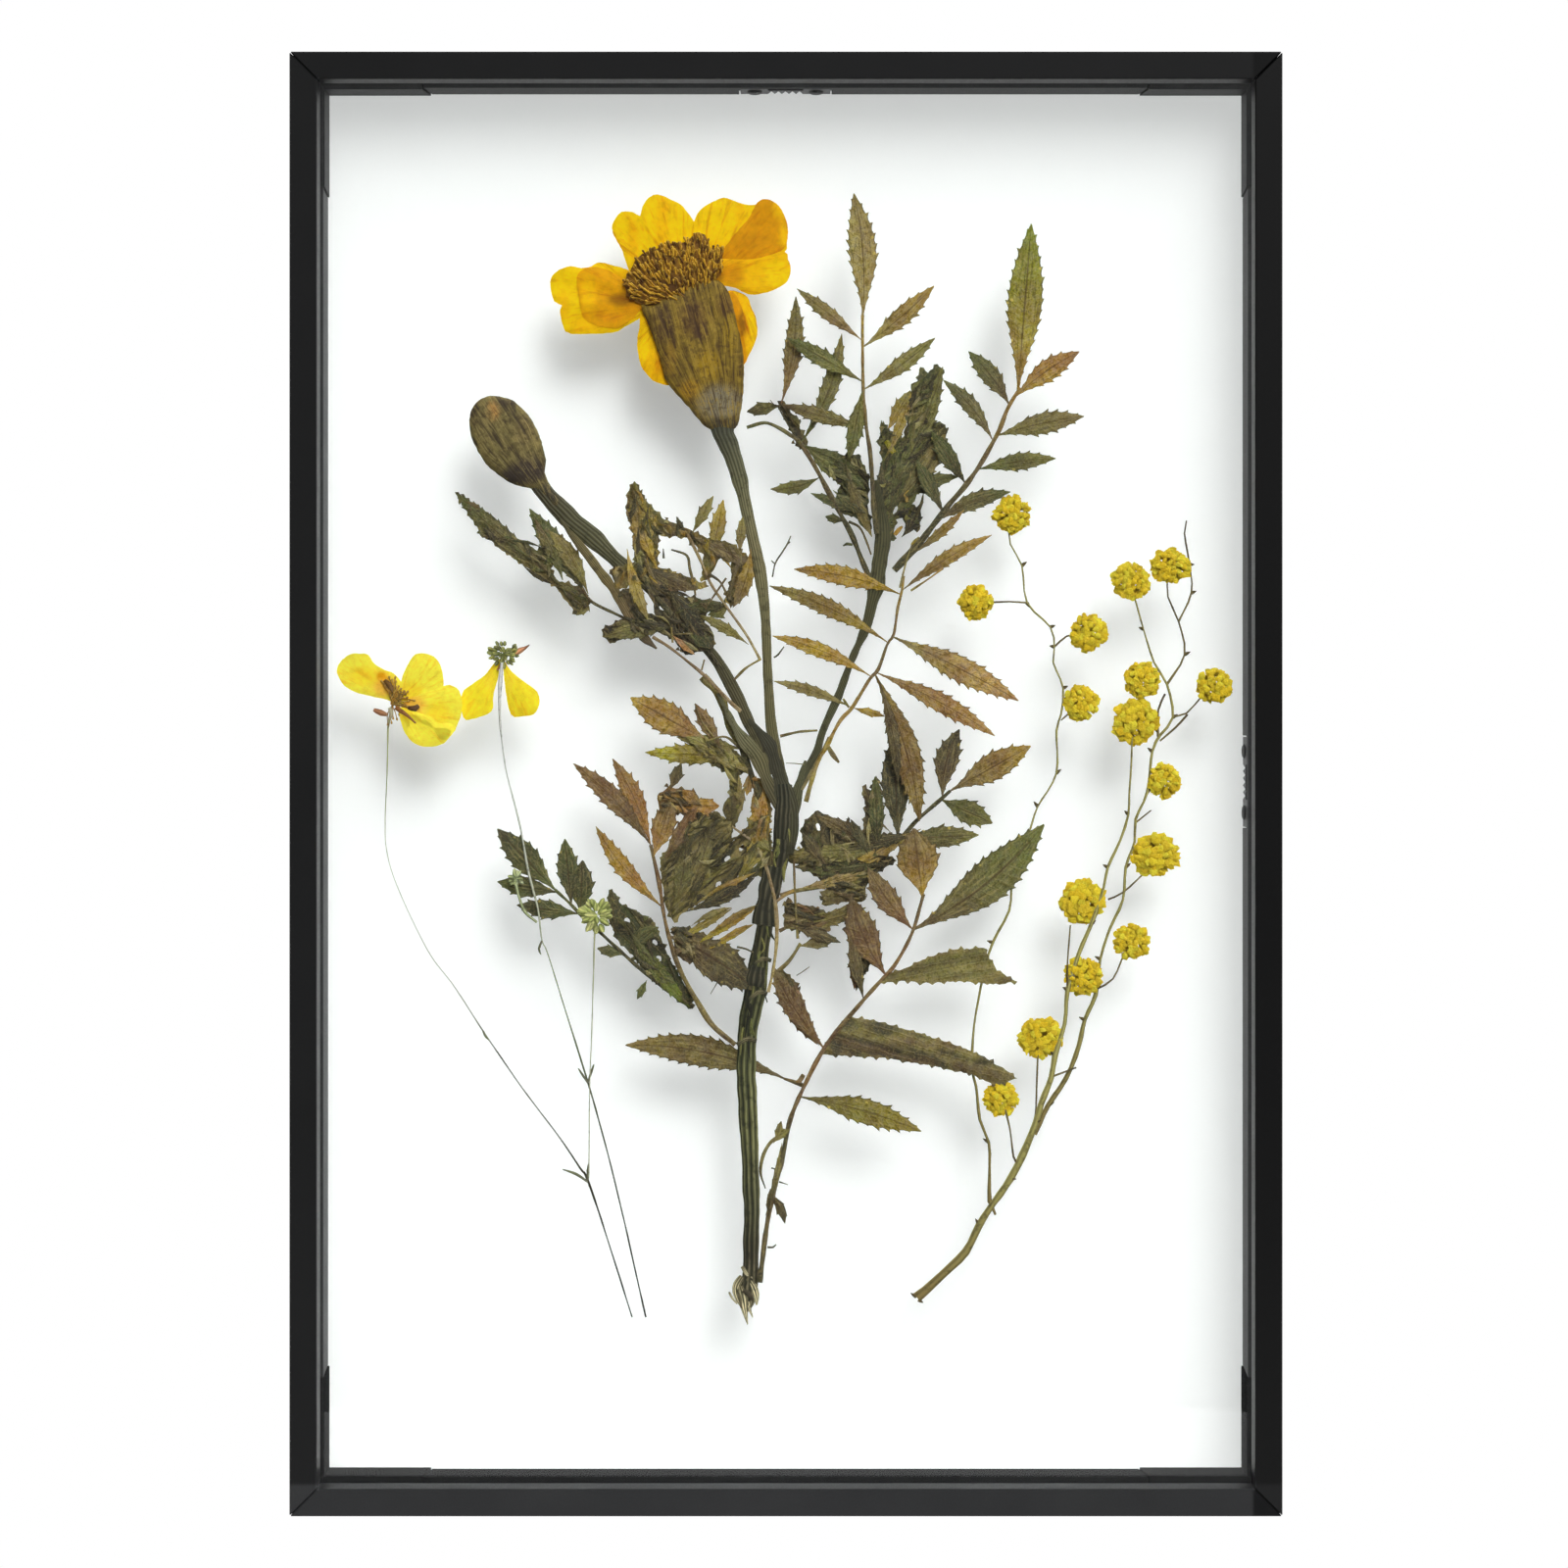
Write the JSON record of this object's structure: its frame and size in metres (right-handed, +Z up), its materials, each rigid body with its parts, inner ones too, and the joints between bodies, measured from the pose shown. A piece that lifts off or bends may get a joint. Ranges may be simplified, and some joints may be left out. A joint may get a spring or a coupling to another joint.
{
  "type": "pressed flower frame",
  "caption": "Slim black floating picture frame that holds a pressed marigold, buttercups and a wattle sprig between clear panes, with sawtooth hangers behind.",
  "frame": {"origin": "centre of the frame, half way through its depth", "axes": "+X to the right seen from the front, +Y towards the wall, +Z up; the front faces -Y"},
  "size_m": [0.2106, 0.02, 0.3104],
  "materials": {
    "rail": "black anodised, satin",
    "glass": "clear, polished",
    "liner": "dark grey, satin",
    "hanger": "black lacquer, slightly worn",
    "stem": "dried green stem, ribbed, dull",
    "leaf": "dried leaf, olive to orange brown, dull",
    "marigold_petal": "dried petal, golden yellow, faint veins",
    "disc": "dried florets, brown, rough",
    "calyx": "dried calyx, streaked brown and olive",
    "buttercup_petal": "dried petal, light yellow, thin",
    "hair_stem": "dried hair-thin stem, pale green",
    "wattle": "dried yellow flower balls on olive twigs"
  },
  "bodies": {
    "root": {"rail_top": "rail", "rail_bottom": "rail", "rail_left": "rail", "rail_right": "rail", "pane_front": "glass", "pane_back": "glass", "liner_corner_bottom_left": "liner", "liner_corner_bottom_right": "liner", "liner_corner_top_left": "liner", "liner_corner_top_right": "liner", "liner_strip_top": "liner", "liner_strip_bottom": "liner", "liner_strip_left": "liner", "liner_strip_right": "liner", "hanger_top": "hanger", "hanger_right": "hanger", "rivet_top_1": "hanger", "rivet_top_2": "hanger", "rivet_right_1": "hanger", "rivet_right_2": "hanger", "marigold_stem": "stem", "marigold_flower_stalk": "stem", "marigold_bud_stalk": "stem", "marigold_side_branch": "stem", "marigold_cup": "calyx", "marigold_disc": "disc", "marigold_bud": "calyx", "petal_top_left": "marigold_petal", "petal_top_right": "marigold_petal", "petal_right": "marigold_petal", "petal_left": "marigold_petal", "petal_lower_left": "marigold_petal", "petal_lower_right": "marigold_petal", "leaf_upper_middle": "leaf", "leaf_upper_left": "leaf", "leaf_upper_right": "leaf", "leaf_upper_curled": "leaf", "leaf_right_high": "leaf", "leaf_right_middle": "leaf", "leaf_right_low": "leaf", "leaf_left_low": "leaf", "leaf_left_far": "leaf", "leaf_below_bud": "leaf", "leaf_bud_stalk": "leaf", "leaf_fork_left": "leaf", "leaf_behind_stem": "leaf", "stem_leaf_upper": "leaf", "stem_leaf_middle": "leaf", "stem_leaf_lower": "leaf", "buttercup_left": "buttercup_petal", "buttercup_right": "buttercup_petal", "buttercup_stem_left": "hair_stem", "buttercup_stem_right": "hair_stem", "seed_head": "hair_stem", "small_bud": "hair_stem", "wattle_stem": "wattle", "wattle_branch_left": "wattle", "wattle_branch_right": "wattle"}
  },
  "joints": []
}
